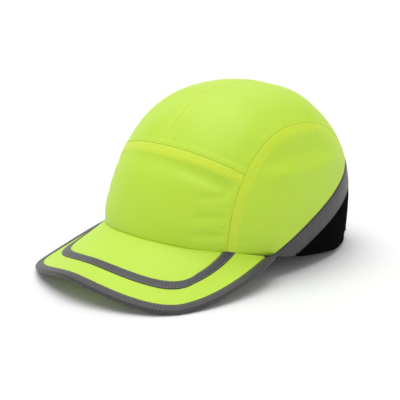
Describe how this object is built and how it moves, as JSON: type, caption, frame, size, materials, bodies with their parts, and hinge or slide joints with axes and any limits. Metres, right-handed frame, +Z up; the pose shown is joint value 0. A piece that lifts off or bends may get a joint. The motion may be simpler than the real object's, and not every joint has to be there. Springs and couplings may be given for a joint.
{
  "type": "bump cap",
  "caption": "Baseball-style high-visibility bump cap with a stiff bound brim, reflective band, mesh rear, arched strap opening and a removable padded hard insert.",
  "frame": {"origin": "on the surface that the cap stands on, below the middle of its bounding box", "axes": "-Y is the way the cap faces (the brim's tip), +X is the wearer's left, +Z is up"},
  "size_m": [0.1818, 0.286, 0.1415],
  "materials": {
    "lime_cloth": "plain-woven fluorescent polyester, matt",
    "reflective_tape": "silver-grey glass-bead tape, satin",
    "black_mesh": "ribbed black polyester mesh, matt",
    "seam_tape": "folded seam tape, matt",
    "stiff_net": "stiffened open net, matt",
    "sweatband_towel": "looped towelling, matt",
    "brim_core": "sheet polyethylene",
    "black_webbing": "woven webbing, matt",
    "touch_fastener": "hook and loop tape",
    "ring_plastic": "moulded acetal, satin gloss",
    "hard_shell": "moulded polyethylene, fine grain",
    "foam": "closed-cell foam, matt"
  },
  "bodies": {
    "cap": {"front_panel": "lime_cloth", "front_stiffener": "stiff_net", "top_panel_left": "lime_cloth", "top_panel_right": "lime_cloth", "side_panel_left": "lime_cloth", "side_panel_right": "lime_cloth", "reflective_band": "reflective_tape", "rear_mesh_panel": "black_mesh", "opening_binding": "black_webbing", "centre_seam_tape": "seam_tape", "seam_tape_left": "seam_tape", "seam_tape_right": "seam_tape", "sweatband": "sweatband_towel", "brim_board": "brim_core", "brim_top_cover": "lime_cloth", "brim_under_cover": "lime_cloth", "brim_binding": "reflective_tape", "brim_stripe": "reflective_tape", "strap": "black_webbing", "strap_loop_patch": "touch_fastener", "ring_tab": "black_webbing"},
    "insert": {"insert_shell": "hard_shell", "pad_front": "foam", "pad_crown": "foam", "pad_rear": "foam", "pad_left": "foam", "pad_right": "foam"},
    "ring": {"adjuster_ring": "ring_plastic", "strap_fold": "black_webbing"},
    "tail": {"strap_tail": "black_webbing", "strap_hook_patch": "touch_fastener"}
  },
  "joints": [
    {"name": "insert_slide", "type": "slide", "parent": "cap", "child": "insert", "axis": [0, 0, -1], "range_m": [0, 0.14]},
    {"name": "ring_swing", "type": "hinge", "parent": "cap", "child": "ring", "pos_m": [-0.05842, 0.12483, 0.0168], "axis": [0, 0, 1], "range_deg": [0, 25]},
    {"name": "strap_peel", "type": "hinge", "parent": "ring", "child": "tail", "pos_m": [-0.0522, 0.13202, 0.0168], "axis": [0, 0, 1], "range_deg": [0, 120]}
  ]
}
